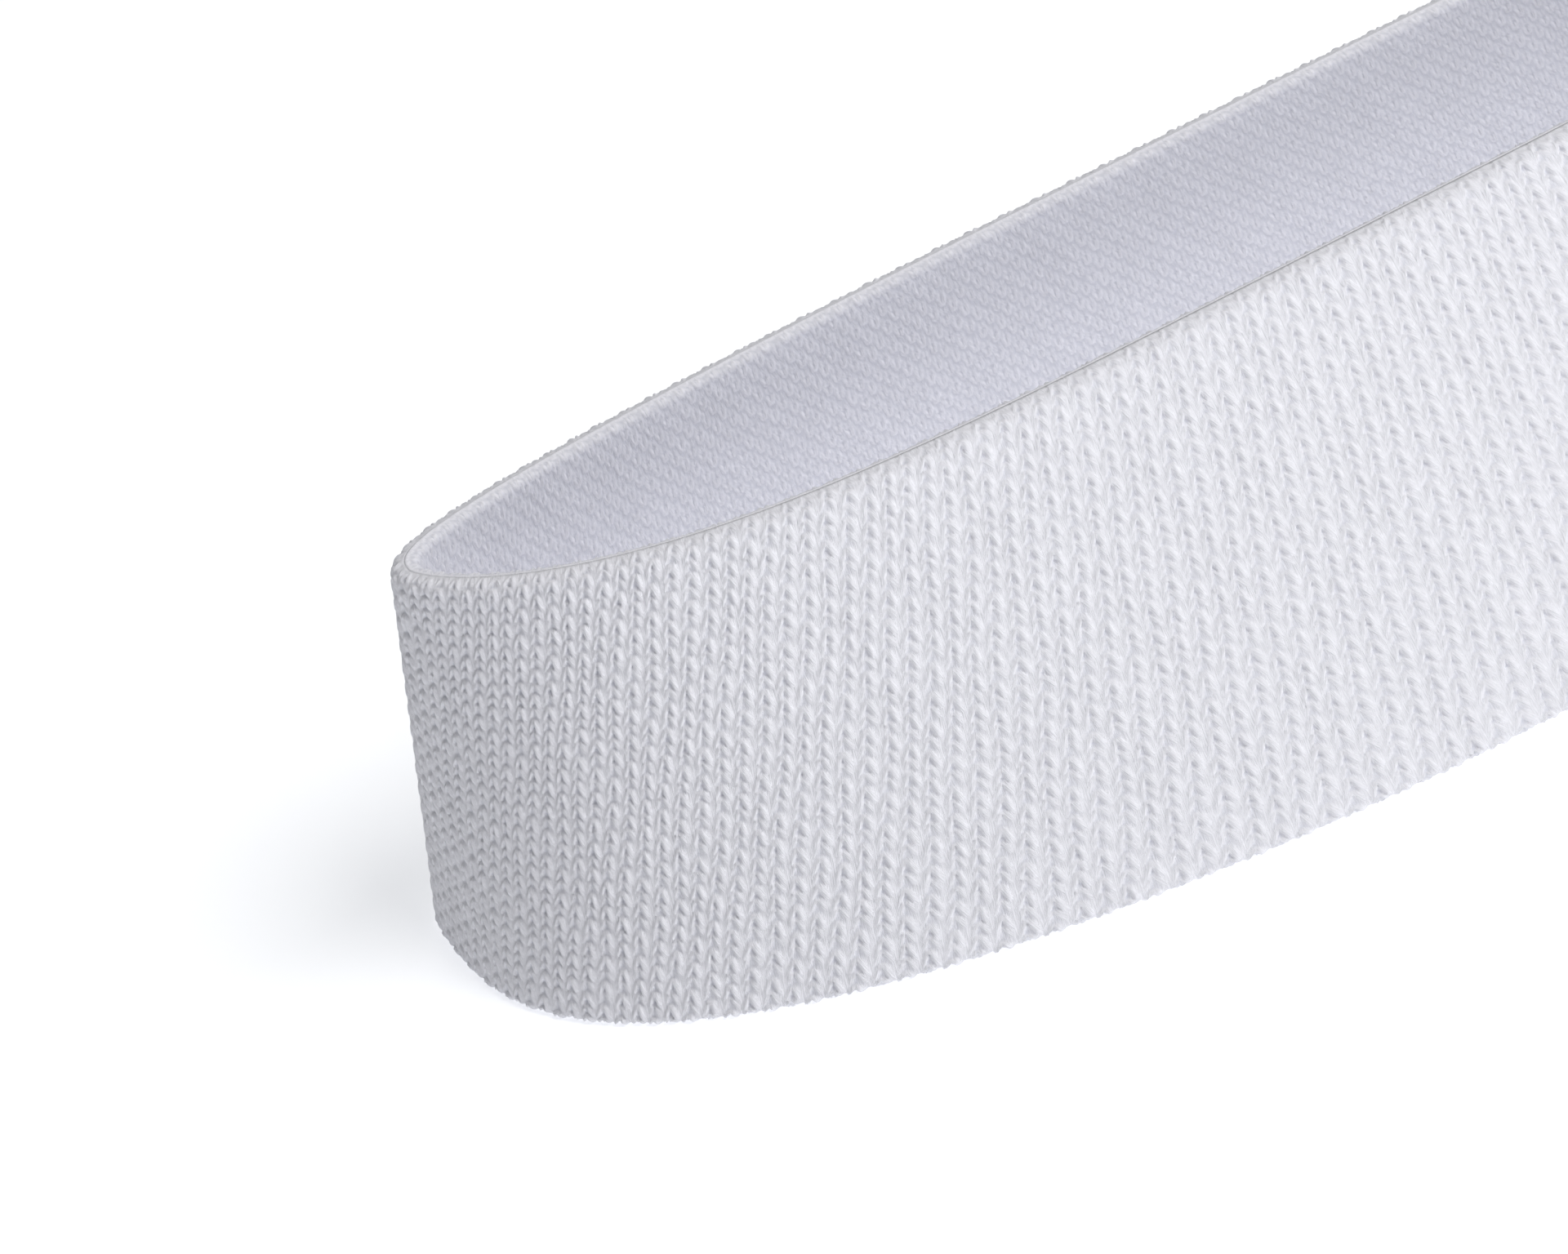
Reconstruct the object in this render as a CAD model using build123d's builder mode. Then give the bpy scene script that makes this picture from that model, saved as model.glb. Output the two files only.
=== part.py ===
"""Knitted sports headband: a soft double-layered loop that stands on its lower edge."""

from build123d import *
import os
from math import cos, hypot, pi, sin

os.makedirs("parts", exist_ok=True)

# Overall sizes, in millimetres
band_height = 47.0
band_thickness = 3.2
edge_radius = 1.1

# The lower ring is the wider one: the loop tapers towards its upper edge
# Depths are measured from the line through the loop's two tips
lower_half_length = 100.0
lower_near_depth = 55.0
lower_far_depth = 17.0
upper_half_length = 91.5
upper_near_depth = 24.0
upper_far_depth = 10.0
# The upper edge's tips lie nearer to the near wall than the lower edge's
upper_lean = -11.5

# How full each wall is along its length and how blunt it is at the loop's ends
lower_near_fullness = 1.8
lower_near_bluntness = 2.75
upper_near_fullness = 4.2
upper_near_bluntness = 1.35
far_fullness = 3.2
far_bluntness = 3.0

# Layers, measured inwards from the outside of the band
outer_wall = 1.4
yarn_gap = 0.6
lining_wall = band_thickness - outer_wall - yarn_gap
hem_height = 3.0
fold_height = 1.4
surface_play = 0.1

# Elastic yarns laid round the loop between the two layers
elastic_side = 0.5
elastic_count = 12

# Chain-stitched seam that closes the tube where the lining meets the lower hem
seam_height = 1.6
seam_thickness = 0.7

# Blank care label on the inside of the near wall
label_height = 22.0
label_width = 14.0
label_thickness = 0.3
label_offset = 30.0
tack_length = 3.0
tack_height = 0.5
tack_thickness = 0.25
tack_inset = 1.2

# Sampling of the curves
half_ring_points = 46
ring_points = 2 * half_ring_points
walk_steps = 240
outside = band_thickness / 2
inside = -band_thickness / 2


def quarter(half_length, depth, fullness, bluntness):
    """Points of one quarter of a ring, from the tip to the middle of a wall."""
    points = []
    for step in range(walk_steps + 1):
        angle = pi / 2 * step / walk_steps
        x = half_length * cos(angle) ** (2 / fullness)
        y = depth * sin(angle) ** (2 / bluntness)
        points.append((x, y))
    return points


def wall(half_length, depth, fullness, bluntness):
    """Even steps along one wall, from its +X tip up to its -X tip."""
    path = quarter(half_length, depth, fullness, bluntness)
    path += [(-x, y) for x, y in reversed(path)][1:]
    travelled = [0.0]
    for start, end in zip(path, path[1:]):
        travelled.append(travelled[-1] + hypot(end[0] - start[0], end[1] - start[1]))
    points = []
    segment = 0
    for index in range(half_ring_points):
        target = travelled[-1] * index / half_ring_points
        while travelled[segment + 1] < target:
            segment += 1
        share = (target - travelled[segment]) / (travelled[segment + 1] - travelled[segment])
        start, end = path[segment], path[segment + 1]
        points.append((start[0] + share * (end[0] - start[0]), start[1] + share * (end[1] - start[1])))
    return points


def ring(half_length, near, far):
    """A whole ring from its +X tip: the far wall, then the near wall."""
    points = wall(half_length, *far)
    points += [(-x, -y) for x, y in wall(half_length, *near)]
    return points


def placed(points, lean):
    """A ring moved to the frame, whose origin is the middle of the lower edge's outline."""
    shift = lean + (lower_near_depth - lower_far_depth) / 2
    return [(x, y + shift) for x, y in points]


def grown(points, offset):
    """A ring moved outwards by an offset, square to its own line."""
    moved = []
    for index, (x, y) in enumerate(points):
        before = points[index - 1]
        after = points[(index + 1) % ring_points]
        length = hypot(after[0] - before[0], after[1] - before[1])
        normal = ((after[1] - before[1]) / length, (before[0] - after[0]) / length)
        moved.append((x + offset * normal[0], y + offset * normal[1]))
    return moved


lower_near = (lower_near_depth, lower_near_fullness, lower_near_bluntness)
lower_far = (lower_far_depth, far_fullness, far_bluntness)
upper_near = (upper_near_depth, upper_near_fullness, upper_near_bluntness)
upper_far = (upper_far_depth, far_fullness, far_bluntness)
lower_ring = placed(ring(lower_half_length, lower_near, lower_far), 0)
upper_ring = placed(ring(upper_half_length, upper_near, upper_far), upper_lean)


def outline(height, offset):
    """A closed curve at a height: a straight blend of the lower and upper rings at an offset."""
    share = height / band_height
    points = []
    for low, high in zip(grown(lower_ring, offset), grown(upper_ring, offset)):
        points.append((low[0] + share * (high[0] - low[0]), low[1] + share * (high[1] - low[1])))
    return Edge.make_spline(points, periodic=True, parameters=list(range(ring_points + 1)))


def shell(outer_offset, inner_offset, low, high):
    """A closed band round the loop between two offsets and two heights."""
    with BuildPart(mode=Mode.PRIVATE) as band:
        for offset, loft_mode in ((outer_offset, Mode.ADD), (inner_offset, Mode.SUBTRACT)):
            for height in (low, high):
                with BuildSketch(Plane.XY.offset(height)):
                    with BuildLine():
                        add(outline(height, offset))
                    make_face()
            loft(ruled=True, mode=loft_mode)
    return band.part


# Outer layer: a coarse knit that folds over at the upper edge and turns inwards as a hem below
lining_face = inside + lining_wall
lining_head = band_height - fold_height
pocket_face = outside - outer_wall
with BuildPart() as outer_knit:
    add(shell(outside, inside, 0, band_height))
    rims = outer_knit.edges().group_by(Axis.Z)[0] + outer_knit.edges().group_by(Axis.Z)[-1]
    fillet(rims, edge_radius)
    pocket = shell(pocket_face, inside - 1, hem_height, lining_head)
    add(pocket, mode=Mode.SUBTRACT)
outer_knit.part.label = "outer_knit"

# Lining: the fine inner layer, which meets the outer one at the fold and at the hem
with BuildPart() as lining_knit:
    add(shell(lining_face, inside, hem_height, lining_head))
lining_knit.part.label = "lining_knit"

# Elastic yarns: closed square-cut threads in the gap between the layers
yarn_line = (pocket_face + lining_face) / 2
yarn_pitch = (lining_head - hem_height) / elastic_count
half_side = elastic_side / 2
with BuildPart() as elastic_yarns:
    for number in range(elastic_count):
        height = hem_height + yarn_pitch * (number + 0.5)
        add(shell(yarn_line + half_side, yarn_line - half_side, height - half_side, height + half_side))
elastic_yarns.part.label = "elastic_yarns"

# Linking seam: a raised chain of thread over the joint of the lining and the lower hem
trim_face = inside - surface_play
seam_foot = hem_height - seam_height / 2
seam_head = hem_height + seam_height / 2
with BuildPart() as linking_seam:
    add(shell(trim_face, trim_face - seam_thickness, seam_foot, seam_head))
linking_seam.part.label = "linking_seam"

# Care label: a blank strip whose lower end sits on the linking seam
label_head = seam_head + label_height
with BuildPart() as care_label:
    add(shell(trim_face, trim_face - label_thickness, seam_head, label_head))
    with BuildSketch():
        with Locations((label_offset, -lower_near_depth)):
            Rectangle(label_width, 2 * lower_near_depth)
    extrude(amount=band_height, mode=Mode.INTERSECT)
care_label.part.label = "care_label"

# Label stitches: one tack of thread at each upper corner of the label
tack_face = trim_face - label_thickness
tack_top = label_head - tack_inset
tack_reach = label_width / 2 - tack_inset - tack_length / 2
with BuildPart() as label_stitches:
    add(shell(tack_face, tack_face - tack_thickness, tack_top - tack_height, tack_top))
    with BuildSketch():
        with Locations(
            (label_offset - tack_reach, -lower_near_depth),
            (label_offset + tack_reach, -lower_near_depth),
        ):
            Rectangle(tack_length, 2 * lower_near_depth)
    extrude(amount=band_height, mode=Mode.INTERSECT)
label_stitches.part.label = "label_stitches"

export_step(outer_knit.part, "parts/outer_knit.step")
export_step(lining_knit.part, "parts/lining_knit.step")
export_step(elastic_yarns.part, "parts/elastic_yarns.step")
export_step(linking_seam.part, "parts/linking_seam.step")
export_step(care_label.part, "parts/care_label.step")
export_step(label_stitches.part, "parts/label_stitches.step")
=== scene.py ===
import math

import bpy
import numpy as np
from mathutils import Matrix, Vector


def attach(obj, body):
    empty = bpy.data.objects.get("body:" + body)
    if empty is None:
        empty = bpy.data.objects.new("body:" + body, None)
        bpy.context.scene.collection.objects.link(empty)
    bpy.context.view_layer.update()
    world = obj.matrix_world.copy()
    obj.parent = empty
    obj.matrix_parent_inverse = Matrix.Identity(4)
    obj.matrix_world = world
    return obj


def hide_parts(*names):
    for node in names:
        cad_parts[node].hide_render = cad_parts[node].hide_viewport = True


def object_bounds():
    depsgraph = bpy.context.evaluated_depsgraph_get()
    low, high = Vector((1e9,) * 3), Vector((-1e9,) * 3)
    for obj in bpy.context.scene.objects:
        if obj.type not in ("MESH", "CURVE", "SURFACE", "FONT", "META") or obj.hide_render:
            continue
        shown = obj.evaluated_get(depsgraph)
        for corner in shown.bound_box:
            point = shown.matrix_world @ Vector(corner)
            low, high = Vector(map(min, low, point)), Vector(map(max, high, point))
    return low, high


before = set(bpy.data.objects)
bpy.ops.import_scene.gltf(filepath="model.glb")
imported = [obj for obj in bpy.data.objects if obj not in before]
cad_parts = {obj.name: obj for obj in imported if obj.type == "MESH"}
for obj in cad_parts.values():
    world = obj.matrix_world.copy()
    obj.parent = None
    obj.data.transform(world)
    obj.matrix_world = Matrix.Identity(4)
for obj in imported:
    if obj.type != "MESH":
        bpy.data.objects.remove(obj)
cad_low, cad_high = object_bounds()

MM = 0.001

# ---------------------------------------------------------------- the band's shape, in millimetres
BAND_HEIGHT = 47.0
THICKNESS = 3.2
EDGE_RADIUS = 1.1
OUTER_WALL = 1.4
LINING_WALL = 1.2
HEM = 3.0
FOLD = 1.4
LOWER = dict(half=100.0, near=(55.0, 1.8, 2.75), far=(17.0, 3.2, 3.0))
UPPER = dict(half=91.5, near=(24.0, 4.2, 1.35), far=(10.0, 3.2, 3.0))
UPPER_LEAN = -11.5
DEPTH_SHIFT = (LOWER["near"][0] - LOWER["far"][0]) / 2
FACE = THICKNESS / 2
POCKET = FACE - OUTER_WALL
LINING_BACK = -FACE + LINING_WALL
LINING_HEAD = BAND_HEIGHT - FOLD

# ---------------------------------------------------------------- threads and the label, in millimetres
ELASTIC_COUNT = 12
ELASTIC_RADIUS = 0.25
ELASTIC_STEPS = 480
CHAIN_LINKS = 176
CHAIN_POINTS = 20
CHAIN_WIDTH = 1.6
CHAIN_RADIUS = 0.22
CHAIN_OFFSET = -2.05
LABEL_X = 30.0
LABEL_WIDTH = 14.0
LABEL_HEIGHT = 22.0
LABEL_THICKNESS = 0.3
LABEL_FOOT = 3.8
LABEL_BACK = -1.7
LABEL_BOW = 0.55
LABEL_COLUMNS = 57
LABEL_ROWS = 89
TACK_LENGTH = 3.0
TACK_HEIGHT = 0.5
TACK_RADIUS = 0.08
TACK_LEVEL = 24.35
TACK_REACH = 4.3
TACK_TURNS = 9
TACK_POINTS = 108

# ---------------------------------------------------------------- the knit
# How far a wale drifts round the loop over the band's height, at the tips and elsewhere,
# and how far it wavers about its line, as shares of the way round
SPIRALITY = (0.003, 0.0155)
WANDER = 0.00022
# The stitches are closer together at the loop's two tips
TIP_DENSITY = 0.37
TIP_WIDTH = 0.085
TANGENT_STEP = 0.0015
WALE_STEP = 0.01

# A wale is a column of stitches and a course is a row of them. Each stitch has two legs, which
# run from start to end across a wale, in wales, over reach courses: first for a strong stitch,
# then for a weak one. Widths, heights and pits are in millimetres.
COARSE = dict(
    wales=220,
    courses=36,
    per_wale=10,
    per_course=7,
    tips=TIP_DENSITY,
    legs=(
        dict(start=0.03, end=0.50, bow=0.03, width=0.38, lift=1.0),
        dict(start=-0.04, end=-0.38, bow=-0.02, width=0.26, lift=0.97),
    ),
    depth=0.46,
    floor=0.38,
    belly=0.16,
    reach=(1.70, 1.34),
    weak_size=0.84,
    weak_lift=0.80,
    pit=0.15,
    pit_size=(0.11, 0.17),
    base_pitch=2.20,
)
FINE = dict(
    wales=364,
    courses=34,
    per_wale=5,
    per_course=5,
    tips=0.0,
    legs=(
        dict(start=0.04, end=0.42, bow=0.03, width=0.19, lift=1.0),
        dict(start=-0.04, end=-0.40, bow=-0.03, width=0.17, lift=0.95),
    ),
    depth=0.26,
    floor=0.21,
    belly=0.03,
    reach=(1.50, 1.10),
    weak_size=0.90,
    weak_lift=0.60,
    pit=0.06,
    pit_size=(0.12, 0.18),
    base_pitch=1.13,
)

# ---------------------------------------------------------------- colours
OUTER_YARN = (0.865, 0.862, 0.906, 1)
# Painted shade: the outer yarn's colour in the knit's hollows and pits
OUTER_PAINTED_SHADE = (0.62, 0.63, 0.70, 1)
LINING_YARN = (0.895, 0.89, 0.94, 1)
# Painted shade: the lining yarn's colour in the knit's hollows and pits
LINING_PAINTED_SHADE = (0.64, 0.645, 0.71, 1)
RUBBER = (0.80, 0.80, 0.81, 1)
THREAD = (0.83, 0.84, 0.885, 1)
TAPE_DARK = (0.80, 0.80, 0.82, 1)
TAPE_LIGHT = (0.88, 0.88, 0.90, 1)
YARN_TWIST = 0.25

# ---------------------------------------------------------------- studio, in metres and watts
FLOOR_REACH = 6.0
BACKDROP_RISE = 1.0
BACKDROP_SIDES = 96
WORLD_COLOUR = (0.88, 0.92, 1.0, 1)
WORLD_STRENGTH = 0.03
FLOOR_COLOUR = (0.92, 0.92, 0.92, 1)
FLOOR_GLOW_COLOUR = (0.94, 0.96, 1.0, 1)
FLOOR_GLOW = 0.50
# Each light's name, its place from the middle of the object, its size and its power
LIGHTS = (
    ("key", (0.55, -0.75, 0.95), 0.9, 13.2),
    ("top", (-0.1, 0.35, 1.2), 1.2, 4.4),
)
VIEW_FROM = (-0.15334, -0.45528, 0.30089)
VIEW_YAW = 0.2009
VIEW_PITCH = -0.5333
VIEW_ROLL = -0.3689
VIEW_LENS = 126.45
SENSOR_WIDTH = 36.0


def quarter(half, depth, fullness, bluntness):
    """One quarter of a ring, from its tip to the middle of a wall."""
    angle = np.linspace(0.0, math.pi / 2, 721)
    x = half * np.cos(angle).clip(0) ** (2 / fullness)
    y = depth * np.sin(angle).clip(0) ** (2 / bluntness)
    return x, y


def wall_path(half, depth, fullness, bluntness):
    """A dense path along one wall from its +X tip to its -X tip, with its length at each point."""
    x, y = quarter(half, depth, fullness, bluntness)
    x = np.concatenate([x, -x[::-1][1:]])
    y = np.concatenate([y, y[::-1][1:]])
    travelled = np.concatenate([[0.0], np.cumsum(np.hypot(np.diff(x), np.diff(y)))])
    return x, y, travelled


def ring(half, near, far, lean):
    """A closed path by the far wall and then the near one; each wall takes half of the shares."""
    far_x, far_y, far_run = wall_path(half, *far)
    near_x, near_y, near_run = wall_path(half, *near)
    share = np.concatenate([far_run / far_run[-1] / 2, 0.5 + near_run[1:] / near_run[-1] / 2])
    x = np.concatenate([far_x, -near_x[1:]])
    y = np.concatenate([far_y, -near_y[1:]]) + DEPTH_SHIFT + lean
    return dict(share=share, x=x, y=y, walls=(far_run[-1], near_run[-1]))


LOWER_RING = ring(lean=0.0, **LOWER)
UPPER_RING = ring(lean=UPPER_LEAN, **UPPER)


def on_ring(path, share):
    wrapped = share % 1.0
    return np.interp(wrapped, path["share"], path["x"]), np.interp(wrapped, path["share"], path["y"])


def girth_at(share, lift):
    """Length of the whole loop if all of it were like the wall at this share."""
    nearer = smooth(-0.3, 0.3, -np.sin(2 * math.pi * share))
    low_far, low_near = LOWER_RING["walls"]
    high_far, high_near = UPPER_RING["walls"]
    far_wall = low_far + lift * (high_far - low_far)
    near_wall = low_near + lift * (high_near - low_near)
    return 2.0 * (far_wall + nearer * (near_wall - far_wall))


def wall_point(share, height):
    """Middle surface at a share of the way round and a height in millimetres."""
    low_x, low_y = on_ring(LOWER_RING, share)
    high_x, high_y = on_ring(UPPER_RING, share)
    lift = height / BAND_HEIGHT
    return low_x + lift * (high_x - low_x), low_y + lift * (high_y - low_y)


def place(share, height, offset):
    """Point at an offset outwards from the middle surface, in millimetres."""
    x, y = wall_point(share, height)
    ax, ay = wall_point(share - TANGENT_STEP, height)
    bx, by = wall_point(share + TANGENT_STEP, height)
    length = np.hypot(bx - ax, by - ay)
    height = np.broadcast_to(height, x.shape)
    return np.stack([x + offset * (by - ay) / length, y - offset * (bx - ax) / length, height], axis=-1)


def tip_nearness(share):
    """Share of the loop between a point and the nearer tip."""
    return np.abs((share + 0.25) % 0.5 - 0.25)


def share_of_wale(wale, knit):
    """Where a wale lies round the loop: the stitches are closer together at its two tips."""
    share = np.linspace(0.0, 1.0, 20001)
    density = 1.0 + knit["tips"] / (1.0 + (tip_nearness(share) / TIP_WIDTH) ** 4)
    total = np.concatenate([[0.0], np.cumsum((density[1:] + density[:-1]) / 2)])
    return np.interp(wale / knit["wales"], total / total[-1], share)


def smooth(low, high, value):
    """A soft step from 0 at low to 1 at high."""
    t = ((value - low) / (high - low)).clip(0.0, 1.0)
    return t * t * (3.0 - 2.0 * t)


def jitter(column, row, salt):
    """A repeatable number from -1 to 1 for each stitch."""
    seed = column * 12.9898 + row * 78.233 + salt * 37.719
    return (np.sin(seed) * 43758.5453 % 1.0) * 2.0 - 1.0


def is_strong(column, row):
    """Strong and weak stitches take turns along a wale and from each wale to the next."""
    return (column + row) % 2 == 0


def leg_at(wale, course, column, row, leg, pitch, knit):
    """Millimetres along and across a leg, with its half width there and how high it stands."""
    strong = is_strong(column, row)
    wrapped = column % knit["wales"]
    length = np.where(strong, *knit["reach"]) + 0.10 * jitter(wrapped, row, 1)
    along = (course - row + 0.10 * jitter(wrapped, row, 2)) / length
    inside = (along > 0.0) & (along < 1.0)
    t = along.clip(0.001, 0.999)
    end = leg["end"] * (1.0 + 0.18 * jitter(wrapped, row, 4 + np.sign(leg["end"])))
    middle = leg["start"] + (end - leg["start"]) * t + leg["bow"] * 4 * t * (1 - t)
    course_pitch = BAND_HEIGHT * 1.05 / knit["courses"]
    slope = (end - leg["start"]) * pitch / (length * course_pitch)
    across = (wale - column - middle) * pitch / np.hypot(1.0, slope)
    leaf = np.sin(math.pi * t**0.72).clip(0.0) ** 0.55
    size = np.where(strong, 1.0, knit["weak_size"]) * (1.0 + 0.15 * jitter(wrapped, row, 6))
    half = leg["width"] * leaf * size * np.sqrt(pitch / knit["base_pitch"])
    crown = np.minimum(1.0, (t / 0.16) ** 0.6) * (1.0 - 0.65 * smooth(0.50, 1.0, t))
    lift = leg["lift"] * np.where(strong, 1.0, knit["weak_lift"]) * crown
    lift = lift * (1.0 + 0.08 * jitter(wrapped, row, 9))
    return along * length * course_pitch, across, np.maximum(half, 1e-4), np.where(inside, lift, 0.0)


def relief(wale, course, pitch, bend, knit):
    """Height of the knit in millimetres under its crowns, and the leg that is on top."""
    first_column = np.floor(wale).astype(int)
    first_row = np.floor(course).astype(int)
    depth = knit["depth"]
    height = -knit["floor"] + knit["belly"] * (1.0 - np.cos(2 * math.pi * wale)) / 2.0
    height = height + 0.045 * depth * np.cos(2 * math.pi * (course + 0.3))
    owner = np.zeros(wale.shape + (3,), int)
    for column in (first_column, first_column + 1):
        for row in (first_row, first_row - 1, first_row - 2):
            for number, leg in enumerate(knit["legs"]):
                _, across, half, lift = leg_at(wale, course, column, row, leg, pitch, knit)
                crown = np.sqrt((1.0 - (across / half) ** 2).clip(0.0))
                level = -depth + depth * lift * (0.25 + 0.75 * crown)
                wins = (crown > 0) & (lift > 0) & (level > height)
                height = np.where(wins, level, height)
                for slot, value in enumerate((column, row, number + 1)):
                    owner[..., slot] = np.where(wins, value, owner[..., slot])
    for column in (first_column, first_column + 1):
        for row in (first_row, first_row - 1):
            strong = is_strong(column, row)
            wrapped = column % knit["wales"]
            dx = (wale - column - 0.015 - 0.03 * jitter(wrapped, row, 12)) * pitch
            dy = (course - row - 0.86 - 0.06 * jitter(wrapped, row, 13)) * BAND_HEIGHT / knit["courses"]
            size = np.where(strong, 1.0, 0.7) * (1.0 + 0.25 * jitter(wrapped, row, 14))
            wide = (knit["pit_size"][0] + 0.02 * bend) * size
            pit = np.exp(-((dx / wide) ** 2) - (dy / (knit["pit_size"][1] * size)) ** 2)
            height = height - (knit["pit"] + 0.04 * bend) * np.where(strong, 1.0, 0.55) * pit
    return height, owner


def arc(centre, start, end, count):
    """Samples of an edge's rounding as offset, height and the normal's offset and height parts."""
    angle = np.radians(np.linspace(start, end, count, endpoint=False))
    across, up = np.cos(angle), np.sin(angle)
    return np.stack([centre[0] + EDGE_RADIUS * across, centre[1] + EDGE_RADIUS * up, across, up], axis=-1)


def run(start, end, normal, count):
    """Samples of a straight part of a cross-section, laid out as in arc."""
    share = np.linspace(0.0, 1.0, count, endpoint=False)[:, None]
    where = np.array(start) + share * (np.array(end) - np.array(start))
    return np.concatenate([where, np.broadcast_to(np.array(normal, float), (count, 2))], axis=1)


def samples_for(length, knit):
    """Mesh rows for a length along the cross-section, in millimetres."""
    return max(2, round(length * knit["courses"] * knit["per_course"] / BAND_HEIGHT))


def knit_grid(section, shown, knit):
    """Points of a closed knitted wall from its cross-section, with the stitch place of each point.

    section holds offset, height and normal for each row; shown is how much relief each row has.
    """
    steps = np.hypot(*(np.roll(section[:, :2], -1, axis=0) - section[:, :2]).T)
    course = np.concatenate([[0.0], np.cumsum(steps)[:-1]]) * knit["courses"] / BAND_HEIGHT
    wale = np.arange(knit["wales"] * knit["per_wale"]) / knit["per_wale"]
    even = share_of_wale(wale, knit)
    lift = section[:, 1] / BAND_HEIGHT
    least, most = SPIRALITY
    lean = least + (most - least) * smooth(0.03, 0.13, tip_nearness(even))
    wander = np.sin(2 * math.pi * 31 * even[None, :] + 0.33 * course[:, None])
    wander = wander + np.sin(2 * math.pi * 53 * even[None, :] - 0.47 * course[:, None])
    share = even[None, :] + lean[None, :] * (lift[:, None] - 0.5) + WANDER * wander
    step = (share_of_wale(wale + WALE_STEP, knit) - even) / WALE_STEP
    pitch = girth_at(even[None, :], lift[:, None]) * step[None, :]
    bend = np.exp(-((tip_nearness(even) / 0.06) ** 2))[None, :] * np.ones_like(pitch)
    wales, courses = np.broadcast_arrays(wale[None, :], course[:, None])
    height, _ = relief(wales, courses, pitch, bend, knit)
    height = height * shown[:, None]
    up = section[:, 1:2] + section[:, 3:4] * height
    out = section[:, 0:1] + section[:, 2:3] * height
    points = place(share, up, out)
    points[..., 2] = points[..., 2].clip(0.0)
    return points, wales, courses, pitch, bend, height


def closed_grid(name, points):
    """A mesh object from points[row, column], in millimetres, joined up both ways."""
    rows, columns = points.shape[:2]
    index = np.arange(rows * columns).reshape(rows, columns)
    below = np.roll(index, -1, axis=0)
    faces = np.stack([index, below, np.roll(below, -1, axis=1), np.roll(index, -1, axis=1)], axis=-1)
    return mesh_object(name, points.reshape(-1, 3), faces.reshape(-1, 4))


def mesh_object(name, points, faces):
    """A smooth-shaded mesh object from points in millimetres and faces of four corners."""
    mesh = bpy.data.meshes.new(name)
    mesh.vertices.add(len(points))
    mesh.vertices.foreach_set("co", (points * MM).astype(np.float32).ravel())
    mesh.loops.add(faces.size)
    mesh.loops.foreach_set("vertex_index", faces.astype(np.int32).ravel())
    mesh.polygons.add(len(faces))
    mesh.polygons.foreach_set("loop_start", np.arange(0, faces.size, faces.shape[1], dtype=np.int32))
    mesh.polygons.foreach_set("use_smooth", np.ones(len(faces), bool))
    mesh.update(calc_edges=True)
    piece = bpy.data.objects.new(name, mesh)
    bpy.context.scene.collection.objects.link(piece)
    return piece


def add_number(piece, name, values):
    """Keep one number for each point, for a material to read."""
    layer = piece.data.attributes.new(name, "FLOAT", "POINT")
    layer.data.foreach_set("value", values.astype(np.float32).ravel())


def add_yarn_map(piece, wales, courses, pitch, bend, knit):
    """UVs in millimetres along and across whichever leg is on top of each face."""
    rows, columns = wales.shape

    def corner(values, step_row, step_column, wrap):
        """Values at a face's corner; they go on past the last column and the last row."""
        moved = np.roll(values, (-step_row, -step_column), axis=(0, 1))
        if step_column:
            moved[:, -1] += wrap
        if step_row:
            moved[-1] = values[-1] + 0.1
        return moved

    middle_wale = wales + 0.5 / knit["per_wale"]
    middle_course = (courses + corner(courses, 1, 0, 0)) / 2
    _, owner = relief(middle_wale, middle_course, pitch, bend, knit)
    column, row, number = owner[..., 0], owner[..., 1], owner[..., 2]
    uv = np.zeros((rows, columns, 4, 2))
    for slot, (step_row, step_column) in enumerate(((0, 0), (1, 0), (1, 1), (0, 1))):
        wale = corner(wales, step_row, step_column, knit["wales"])
        course = corner(courses, step_row, step_column, 0)
        along = course * BAND_HEIGHT / knit["courses"]
        across = (wale - np.floor(middle_wale) - 0.5) * pitch
        for each, leg in enumerate(knit["legs"]):
            leg_along, leg_across, _, _ = leg_at(wale, course, column, row, leg, pitch, knit)
            on_leg = number == each + 1
            shift = 9.0 * jitter(column % knit["wales"], row, 20 + each)
            along = np.where(on_leg, leg_along + shift, along)
            across = np.where(on_leg, leg_across + shift / 3, across)
        uv[..., slot, 0] = along
        uv[..., slot, 1] = across
    layer = piece.data.uv_layers.new(name="Yarn")
    layer.data.foreach_set("uv", uv.astype(np.float32).ravel())


# ---------------------------------------------------------------- materials
class Nodes:
    """A short way to write a material's nodes."""

    def __init__(self, name):
        self.material = bpy.data.materials.new(name)
        self.material.use_nodes = True
        self.tree = self.material.node_tree
        self.shader = self.tree.nodes["Principled BSDF"]

    def link(self, source, target):
        self.tree.links.new(source, target)

    def node(self, kind, settings=None, **inputs):
        made = self.tree.nodes.new("ShaderNode" + kind)
        for key, value in (settings or {}).items():
            setattr(made, key, value)
        for key, value in inputs.items():
            numbered = key[0] == "i" and key[1:].isdigit()
            socket = made.inputs[int(key[1:])] if numbered else made.inputs[key]
            if isinstance(value, bpy.types.NodeSocket):
                self.link(value, socket)
            else:
                socket.default_value = value
        return made

    def maths(self, operation, first, second=0.0):
        return self.node("Math", dict(operation=operation), i0=first, i1=second).outputs[0]

    def number(self, name):
        return self.node("Attribute", dict(attribute_name=name)).outputs["Fac"]

    def range(self, value, low, high, to_low=0.0, to_high=1.0):
        made = self.node("MapRange", dict(interpolation_type="SMOOTHSTEP"), i0=value, i1=low, i2=high)
        made.inputs[3].default_value = to_low
        made.inputs[4].default_value = to_high
        return made.outputs[0]

    def blend(self, amount, first, second):
        made = self.node("Mix", dict(data_type="RGBA"), i0=amount, i6=first, i7=second)
        return made.outputs[2]


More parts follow.
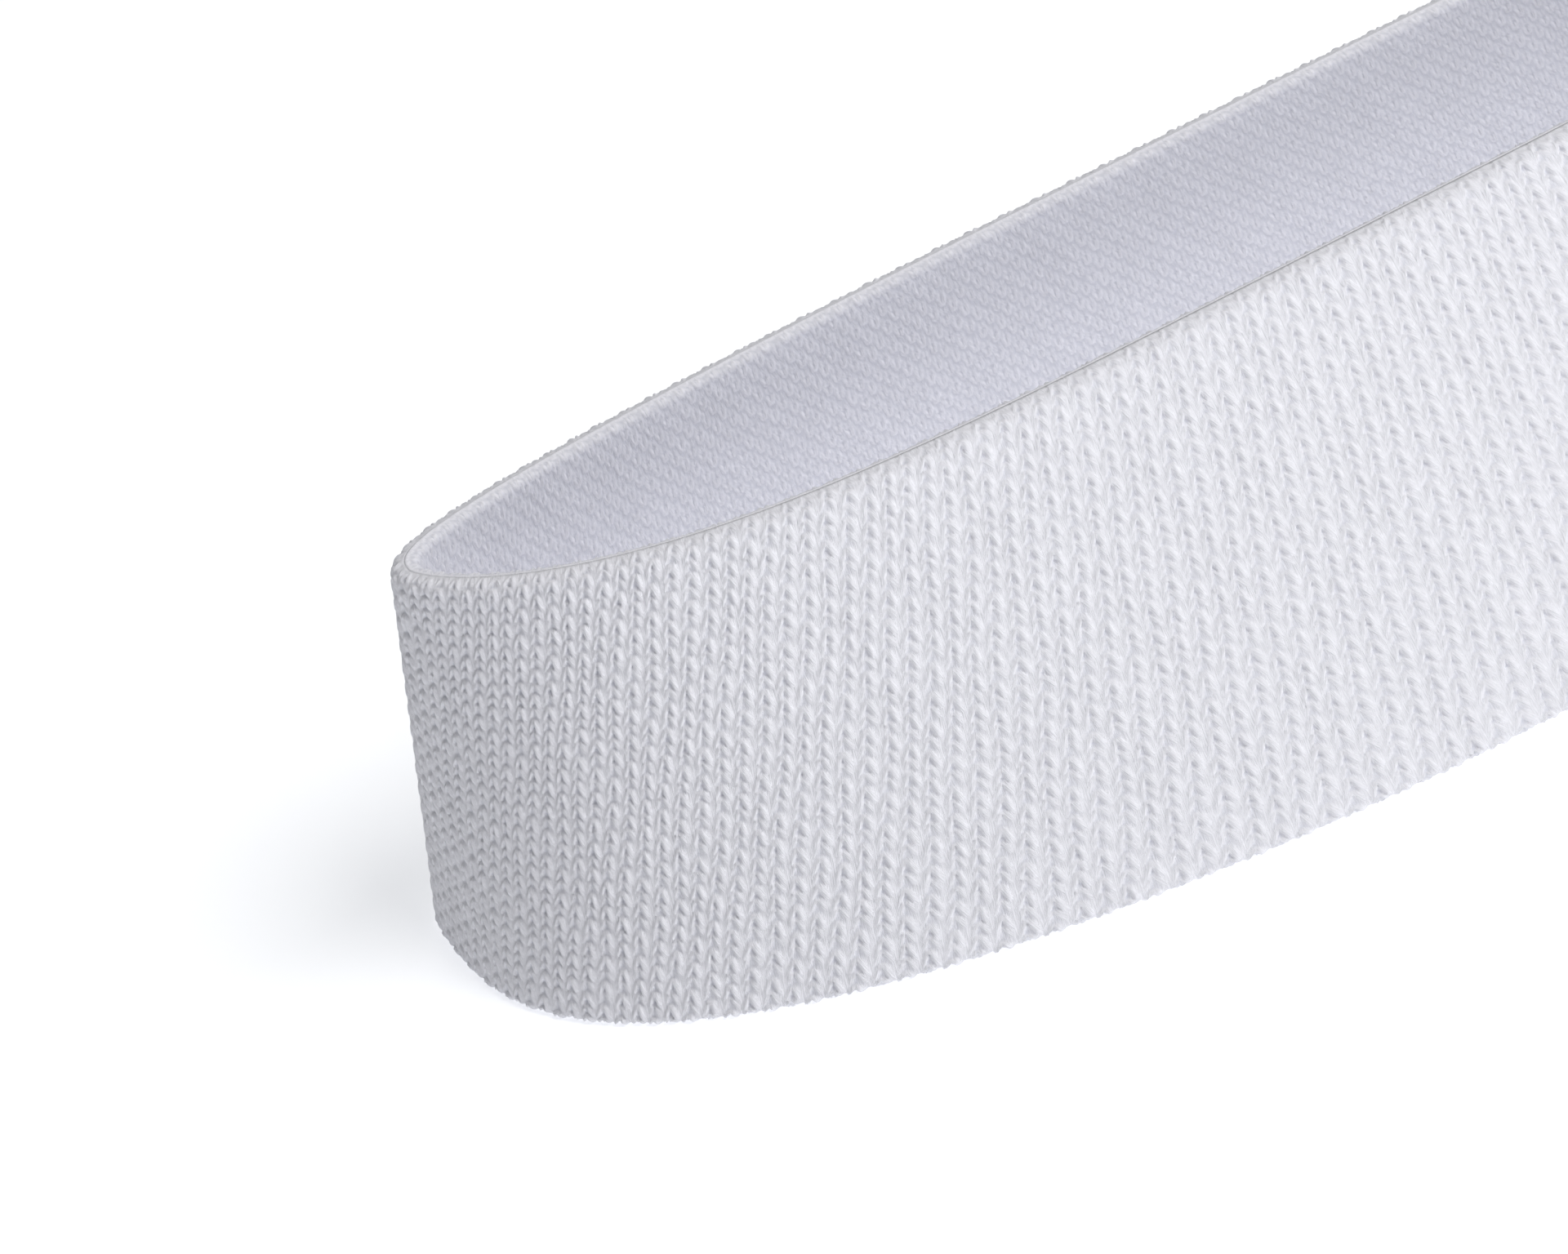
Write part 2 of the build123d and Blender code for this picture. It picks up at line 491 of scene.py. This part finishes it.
def yarn_material(name, high, low, depth, fibre_depth, sheen):
    """Spun yarn: fibres that run along each leg with a slight twist, with painted shade where the knit is
    deep and painted highlights on the top fibres.
    """
    make = Nodes(name)
    yarn = make.node("UVMap", dict(uv_map="Yarn")).outputs[0]
    parts = make.node("SeparateXYZ", None, i0=yarn)
    along, across = parts.outputs[0], parts.outputs[1]
    turned = make.maths("SUBTRACT", across, make.maths("MULTIPLY", along, YARN_TWIST))
    fibre_place = make.node(
        "CombineXYZ", None, i0=make.maths("MULTIPLY", along, 0.9), i1=make.maths("MULTIPLY", turned, 8.0)
    ).outputs[0]
    fibre = make.node("TexNoise", None, Vector=fibre_place, Scale=1.0, Detail=3.0, Roughness=0.65)
    ply = make.node(
        "CombineXYZ", None, i0=make.maths("MULTIPLY", along, 0.5), i1=make.maths("MULTIPLY", turned, 2.6)
    ).outputs[0]
    plies = make.node("TexNoise", None, Vector=ply, Scale=1.0, Detail=1.0)
    height = make.maths(
        "ADD",
        make.maths("MULTIPLY", fibre.outputs[0], 0.55),
        make.maths("MULTIPLY", plies.outputs[0], 0.45),
    )
    bump = make.node("Bump", None, Strength=1.0, Distance=fibre_depth * MM, Height=height)
    make.link(bump.outputs[0], make.shader.inputs["Normal"])
    # Painted shade: the colour goes over to the shade colour where the knit is deep, in its hollows and
    # pits
    deep = make.range(make.number("Depth"), -depth, -0.35 * depth)
    colour = make.blend(deep, low, high)
    # Fibre streaks: the dull tone is the yarn's own uneven fibre tone; the bright tone on the top fibres is
    # a painted highlight
    streak = make.range(fibre.outputs[0], 0.36, 0.62, 0.0, 1.0)
    dull = tuple(0.84 * c for c in high[:3]) + (1.0,)
    shade = make.blend(make.maths("MULTIPLY", make.maths("SUBTRACT", 1.0, streak), 0.6), colour, dull)
    painted_fibre_glint = tuple(min(1.0, 1.09 * c) for c in high[:3]) + (1.0,)
    shade = make.blend(make.range(fibre.outputs[0], 0.58, 0.70, 0.0, 0.9), shade, painted_fibre_glint)
    make.link(shade, make.shader.inputs["Base Color"])
    make.shader.inputs["Roughness"].default_value = 0.82
    make.shader.inputs["Specular IOR Level"].default_value = 0.35
    make.shader.inputs["Sheen Weight"].default_value = sheen
    make.shader.inputs["Sheen Roughness"].default_value = 0.45
    return make.material


# ---------------------------------------------------------------- the outer knit
def outer_section():
    """From the crest of the rim over the outside and the lower edge to the hem inside."""
    knit = COARSE
    low, high = EDGE_RADIUS, BAND_HEIGHT - EDGE_RADIUS
    quarter_turn = samples_for(EDGE_RADIUS * math.pi / 2, knit)
    flat = samples_for(THICKNESS - 2 * EDGE_RADIUS, knit)
    inset = FACE - EDGE_RADIUS
    crest = run((0.0, BAND_HEIGHT), (inset, BAND_HEIGHT), (0, 1), flat // 2)
    shown_parts = [
        arc((inset, high), 90, 0, quarter_turn),
        run((FACE, high), (FACE, low), (1, 0), samples_for(high - low, knit)),
        arc((inset, low), 0, -90, quarter_turn),
        run((inset, 0), (-inset, 0), (0, -1), flat),
        arc((-inset, low), -90, -180, quarter_turn),
        run((-FACE, low), (-FACE, HEM), (-1, 0), samples_for(HEM - low, knit)),
    ]
    hidden_parts = [
        run((-FACE, HEM), (POCKET, HEM), (0, 1), 3),
        run((POCKET, HEM), (POCKET, LINING_HEAD), (-1, 0), 8),
        run((POCKET, LINING_HEAD), (0.0, BAND_HEIGHT), (-1, 0), 3),
    ]
    fade = np.linspace(0.0, 1.0, len(crest), endpoint=False)
    ones = np.ones(sum(len(p) for p in shown_parts))
    zeros = np.zeros(sum(len(p) for p in hidden_parts))
    return np.concatenate([crest] + shown_parts + hidden_parts), np.concatenate([fade, ones, zeros])


def knitted_piece(name, section, shown, knit):
    """A knitted wall with the depth of each point and the lie of the yarn on each face."""
    points, wales, courses, pitch, bend, height = knit_grid(section, shown, knit)
    piece = closed_grid(name, points)
    add_number(piece, "Depth", height)
    add_yarn_map(piece, wales, courses, pitch, bend, knit)
    return piece


outer = knitted_piece("outer_knit_cloth", *outer_section(), COARSE)
outer_depth = COARSE["depth"] * 1.2
outer.data.materials.append(
    yarn_material("outer_yarn", OUTER_YARN, OUTER_PAINTED_SHADE, outer_depth, fibre_depth=0.20, sheen=0.20)
)


# ---------------------------------------------------------------- the lining
def lining_section():
    """Up the inside from the hem and over to the crest of the rim."""
    high = BAND_HEIGHT - EDGE_RADIUS
    inset = FACE - EDGE_RADIUS
    shown_parts = [
        run((-FACE, HEM), (-FACE, high), (-1, 0), samples_for(high - HEM, FINE)),
        arc((-inset, high), 180, 90, samples_for(EDGE_RADIUS * math.pi / 2, FINE)),
        run((-inset, BAND_HEIGHT), (0.0, BAND_HEIGHT), (0, 1), samples_for(inset, FINE)),
    ]
    hidden_parts = [
        run((0.0, BAND_HEIGHT), (LINING_BACK, LINING_HEAD), (1, 0), 3),
        run((LINING_BACK, LINING_HEAD), (LINING_BACK, HEM), (1, 0), 8),
        run((LINING_BACK, HEM), (-FACE, HEM), (0, -1), 2),
    ]
    ones = np.ones(sum(len(p) for p in shown_parts[:-1]))
    fade = np.linspace(1.0, 0.0, len(shown_parts[-1]))
    zeros = np.zeros(sum(len(p) for p in hidden_parts))
    return np.concatenate(shown_parts + hidden_parts), np.concatenate([ones, fade, zeros])


lining = knitted_piece("lining_cloth", *lining_section(), FINE)
lining.data.materials.append(
    yarn_material("lining_yarn", LINING_YARN, LINING_PAINTED_SHADE, FINE["depth"], fibre_depth=0.12, sheen=0.20)
)

for piece, node, slot in ((outer, "outer_knit", "outer_yarn"), (lining, "lining_knit", "lining_yarn")):
    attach(piece, "root")
    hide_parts(node)

# ---------------------------------------------------------------- threads
def tubes(name, paths, outwards, radius, sides):
    """Closed round threads along paths[thread, point], with fibre UVs in millimetres."""
    threads, count = paths.shape[:2]
    ahead = np.roll(paths, -1, axis=1) - np.roll(paths, 1, axis=1)
    ahead = ahead / np.linalg.norm(ahead, axis=2, keepdims=True)
    beside = np.cross(ahead, outwards)
    beside = beside / np.linalg.norm(beside, axis=2, keepdims=True)
    over = np.cross(beside, ahead)
    angle = 2 * math.pi * np.arange(sides) / sides
    turn = np.cos(angle)[:, None, None, None], np.sin(angle)[:, None, None, None]
    points = paths[None] + radius * (turn[0] * beside[None] + turn[1] * over[None])
    index = np.arange(points.size // 3).reshape(sides, threads, count)
    below = np.roll(index, -1, axis=0)
    faces = np.stack([index, np.roll(index, -1, axis=2), np.roll(below, -1, axis=2), below], axis=-1)
    piece = mesh_object(name, points.reshape(-1, 3), faces.reshape(-1, 4))
    steps = np.linalg.norm(np.roll(paths, -1, axis=1) - paths, axis=2)
    travelled = np.concatenate([np.zeros((threads, 1)), np.cumsum(steps, axis=1)], axis=1)
    travelled = travelled + 7.3 * np.arange(threads)[:, None]
    uv = np.zeros((sides, threads, count, 4, 2))
    girth_step = 2 * math.pi * radius / sides
    for corner, (side, point) in enumerate(((0, 0), (0, 1), (1, 1), (1, 0))):
        uv[..., corner, 0] = travelled[None, :, point : point + count]
        uv[..., corner, 1] = (np.arange(sides)[:, None, None] + side) * girth_step
    layer = piece.data.uv_layers.new(name="Yarn")
    layer.data.foreach_set("uv", uv.astype(np.float32).ravel())
    return piece


def along_wall(share, height, offset):
    """Points on the wall, with the direction towards the loop's inside at each."""
    share, height, offset = np.broadcast_arrays(share, height, offset)
    points = place(share, height, offset)
    return points, place(share, height, offset - 1.0) - points


def elastic_paths():
    """One level round of thread for each elastic yarn, midway between the two layers."""
    share = np.arange(ELASTIC_STEPS)[None, :] / ELASTIC_STEPS
    number = np.arange(ELASTIC_COUNT)[:, None]
    height = HEM + (LINING_HEAD - HEM) / ELASTIC_COUNT * (number + 0.5)
    return along_wall(share, height, (POCKET + LINING_BACK) / 2)


def chain_paths():
    """Links of a chain stitch: each one's head lies over the tail of the next."""
    number = np.arange(CHAIN_LINKS)[:, None]
    angle = 2 * math.pi * np.arange(CHAIN_POINTS)[None, :] / CHAIN_POINTS
    uneven = jitter(number, 0, 31)
    reach = (0.72 + 0.03 * uneven) * np.cos(angle)
    half_width = (CHAIN_WIDTH / 2 - CHAIN_RADIUS) * (0.86 + 0.10 * jitter(number, 0, 32))
    height = HEM + half_width * np.sin(angle) * (0.86 + 0.18 * np.cos(angle)) + 0.05 * jitter(number, 0, 33)
    offset = CHAIN_OFFSET - 0.12 * np.cos(angle)
    return along_wall((number + reach) / CHAIN_LINKS, height, offset)


def thread_material(name, colour, twist, fibre_depth, roughness):
    """Twisted thread: fine fibres that wind round it."""
    make = Nodes(name)
    parts = make.node("SeparateXYZ", None, i0=make.node("UVMap", dict(uv_map="Yarn")).outputs[0])
    wound = make.maths("SUBTRACT", parts.outputs[1], make.maths("MULTIPLY", parts.outputs[0], twist))
    along = make.maths("MULTIPLY", parts.outputs[0], 1.2)
    around = make.maths("MULTIPLY", wound, 9.0)
    where = make.node("CombineXYZ", None, i0=along, i1=around).outputs[0]
    fibre = make.node("TexNoise", None, Vector=where, Scale=1.0, Detail=3.0, Roughness=0.6)
    bump = make.node("Bump", None, Strength=1.0, Distance=fibre_depth * MM, Height=fibre.outputs[0])
    make.link(bump.outputs[0], make.shader.inputs["Normal"])
    dull = tuple(0.86 * c for c in colour[:3]) + (1.0,)
    make.link(
        make.blend(make.range(fibre.outputs[0], 0.35, 0.6), dull, colour), make.shader.inputs["Base Color"]
    )
    make.shader.inputs["Roughness"].default_value = roughness
    make.shader.inputs["Sheen Weight"].default_value = 0.2
    return make.material


elastic = tubes("elastic_threads", *elastic_paths(), ELASTIC_RADIUS, 8)
elastic.data.materials.append(thread_material("elastic_rubber", RUBBER, 0.0, 0.02, 0.55))
seam = tubes("chain_stitches", *chain_paths(), CHAIN_RADIUS, 8)
seam_thread = thread_material("seam_thread", THREAD, 1.1, 0.05, 0.75)
seam.data.materials.append(seam_thread)


# ---------------------------------------------------------------- the care label
def near_share(x, height):
    """Where the near wall is at a distance along X, at each height."""
    share = np.linspace(0.5, 1.0, 2001)
    found = np.empty(np.broadcast(x, height).shape)
    for place_in, (wanted, level) in enumerate(zip(*(a.ravel() for a in np.broadcast_arrays(x, height)))):
        found.flat[place_in] = np.interp(wanted, wall_point(share, level)[0], share)
    return found


def label_lift(across, up):
    """How far the label's face stands off the wall: it bows a little between its stitched ends."""
    bow = LABEL_BOW * np.sin(math.pi * up.clip(0.0, 1.0)) ** 1.2 * (1.0 - 0.35 * across**2)
    curl = 0.18 * across**6 * np.sin(math.pi * up.clip(0.0, 1.0))
    selvedge = 0.05 * smooth(0.80, 0.88, np.abs(across))
    return bow + curl + selvedge


def label_piece():
    """A strip of tape with a front, a back and four thin edges."""
    across = np.linspace(-1.0, 1.0, LABEL_COLUMNS)[None, :]
    up = np.linspace(0.0, 1.0, LABEL_ROWS)[:, None]
    height = LABEL_FOOT + up * LABEL_HEIGHT
    share = near_share(LABEL_X + across * LABEL_WIDTH / 2, height)
    lift = label_lift(across, up)
    weft = np.cos(math.pi * np.arange(LABEL_COLUMNS))[None, :]
    warp = np.cos(math.pi * np.arange(LABEL_ROWS))[:, None]
    weave = 0.012 * weft * warp
    face = place(share, height, LABEL_BACK - LABEL_THICKNESS - lift - weave)
    back = place(share, height, LABEL_BACK - lift)
    rows, columns = lift.shape
    points = np.concatenate([face.reshape(-1, 3), back.reshape(-1, 3)])
    index = np.arange(rows * columns).reshape(rows, columns)
    other = index + rows * columns
    front = np.stack([index[:-1, :-1], index[1:, :-1], index[1:, 1:], index[:-1, 1:]], axis=-1)
    rear = np.stack([other[:-1, :-1], other[:-1, 1:], other[1:, 1:], other[1:, :-1]], axis=-1)
    front, rear = front.reshape(-1, 4), rear.reshape(-1, 4)
    rim = np.concatenate([index[0, :-1], index[:-1, -1], index[-1, :0:-1], index[:0:-1, 0]])
    after = np.roll(rim, -1)
    edge = np.stack([rim, after, after + rows * columns, rim + rows * columns], axis=-1)
    piece = mesh_object("care_label_tape", points, np.concatenate([front, rear, edge]))
    for name, values in (("Side", across * LABEL_WIDTH / 2), ("Level", up * LABEL_HEIGHT)):
        add_number(piece, name, np.tile(np.broadcast_to(values, lift.shape).ravel(), 2))
    return piece


def label_material():
    """Satin tape: fine ribs across it with a faint thread along it."""
    make = Nodes("satin_tape")
    side, level = make.number("Side"), make.number("Level")
    rib = make.maths("SINE", make.maths("MULTIPLY", level, 2 * math.pi / 0.25))
    warp = make.maths("SINE", make.maths("MULTIPLY", side, 2 * math.pi / 0.30))
    height = make.maths("ADD", make.maths("MULTIPLY", rib, 0.5), make.maths("MULTIPLY", warp, 0.25))
    bump = make.node("Bump", None, Strength=0.8, Distance=0.02 * MM, Height=height)
    make.link(bump.outputs[0], make.shader.inputs["Normal"])
    shade = make.blend(make.range(height, -0.6, 0.6), TAPE_DARK, TAPE_LIGHT)
    make.link(shade, make.shader.inputs["Base Color"])
    make.shader.inputs["Roughness"].default_value = 0.45
    make.shader.inputs["Sheen Weight"].default_value = 0.15
    return make.material


def tack_paths():
    """Two bar tacks: thread laid up and down along each, then back along its middle."""
    there = np.linspace(0.0, 1.0, TACK_POINTS, endpoint=False)
    forth = np.linspace(1.0, 0.0, TACK_POINTS // 3, endpoint=False)
    swing = np.cos(2 * math.pi * TACK_TURNS * there) * (TACK_HEIGHT / 2 - TACK_RADIUS)
    along = np.concatenate([there, forth]) * TACK_LENGTH - TACK_LENGTH / 2
    height = TACK_LEVEL + np.concatenate([swing, 0.0 * forth])[None, :]
    sink = np.concatenate([0.0 * there, -TACK_RADIUS + 0.0 * forth])[None, :]
    x = LABEL_X + np.array([[-1.0], [1.0]]) * TACK_REACH + along[None, :]
    height = np.broadcast_to(height, x.shape)
    lift = label_lift((x - LABEL_X) / (LABEL_WIDTH / 2), (height - LABEL_FOOT) / LABEL_HEIGHT)
    offset = LABEL_BACK - LABEL_THICKNESS - lift - TACK_RADIUS - 0.02 - sink
    return along_wall(near_share(x, height), height, offset)


label = label_piece()
label.data.materials.append(label_material())
tacks = tubes("label_tacks", *tack_paths(), TACK_RADIUS, 6)
tacks.data.materials.append(seam_thread)

for piece, node, slot in (
    (elastic, "elastic_yarns", "elastic"),
    (seam, "linking_seam", "seam_thread"),
    (label, "care_label", "label_tape"),
    (tacks, "label_stitches", "seam_thread"),
):
    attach(piece, "root")
    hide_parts(node)

# ---------------------------------------------------------------- floor, lights and camera
def studio():
    """A round pale floor with a low backdrop, and two soft lights."""
    scene = bpy.context.scene
    scene.view_settings.view_transform = "Standard"
    scene.view_settings.look = "None"
    world = bpy.data.worlds.new("studio")
    world.use_nodes = True
    world.node_tree.nodes["Background"].inputs[0].default_value = WORLD_COLOUR
    world.node_tree.nodes["Background"].inputs[1].default_value = WORLD_STRENGTH
    scene.world = world

    sides = BACKDROP_SIDES
    angles = [2 * math.pi * side / sides for side in range(sides)]
    corners = []
    for rise in (0.0, BACKDROP_RISE):
        corners += [(FLOOR_REACH * math.cos(a), FLOOR_REACH * math.sin(a), rise) for a in angles]
    backdrop = [(n, (n + 1) % sides, (n + 1) % sides + sides, n + sides) for n in range(sides)]
    floor_mesh = bpy.data.meshes.new("floor")
    floor_mesh.from_pydata(corners, [], [tuple(range(sides))] + backdrop)
    floor = bpy.data.objects.new("floor", floor_mesh)
    scene.collection.objects.link(floor)
    make = Nodes("floor_paper")
    make.shader.inputs["Base Color"].default_value = FLOOR_COLOUR
    make.shader.inputs["Emission Color"].default_value = FLOOR_GLOW_COLOUR
    make.shader.inputs["Emission Strength"].default_value = FLOOR_GLOW
    make.shader.inputs["Roughness"].default_value = 0.9
    floor_mesh.materials.append(make.material)

    middle = (cad_low + cad_high) / 2
    for name, where, size, power in LIGHTS:
        data = bpy.data.lights.new(name, "AREA")
        data.shape = "DISK"
        data.size = size
        data.energy = power
        light = bpy.data.objects.new(name, data)
        light.location = middle + Vector(where)
        light.rotation_mode = "QUATERNION"
        light.rotation_quaternion = Vector(where).to_track_quat("Z", "Y")
        scene.collection.objects.link(light)


def camera():
    """The view from above the near wall, towards the loop's -X end."""
    yaw, pitch, roll = VIEW_YAW, VIEW_PITCH, VIEW_ROLL
    forward = Vector((math.sin(yaw) * math.cos(pitch), math.cos(yaw) * math.cos(pitch), math.sin(pitch)))
    right = Vector((math.cos(yaw), -math.sin(yaw), 0.0))
    up = right.cross(forward)
    across = math.cos(roll) * right + math.sin(roll) * up
    above = -math.sin(roll) * right + math.cos(roll) * up
    data = bpy.data.cameras.new("photo_view")
    data.lens = VIEW_LENS
    data.sensor_width = SENSOR_WIDTH
    data.clip_start = 0.01
    data.clip_end = 50.0
    made = bpy.data.objects.new("photo_view", data)
    bpy.context.scene.collection.objects.link(made)
    turn = Matrix((across, above, -forward)).transposed()
    made.matrix_world = Matrix.Translation(Vector(VIEW_FROM)) @ turn.to_4x4()
    bpy.context.scene.camera = made


studio()
camera()

bpy.context.view_layer.update()
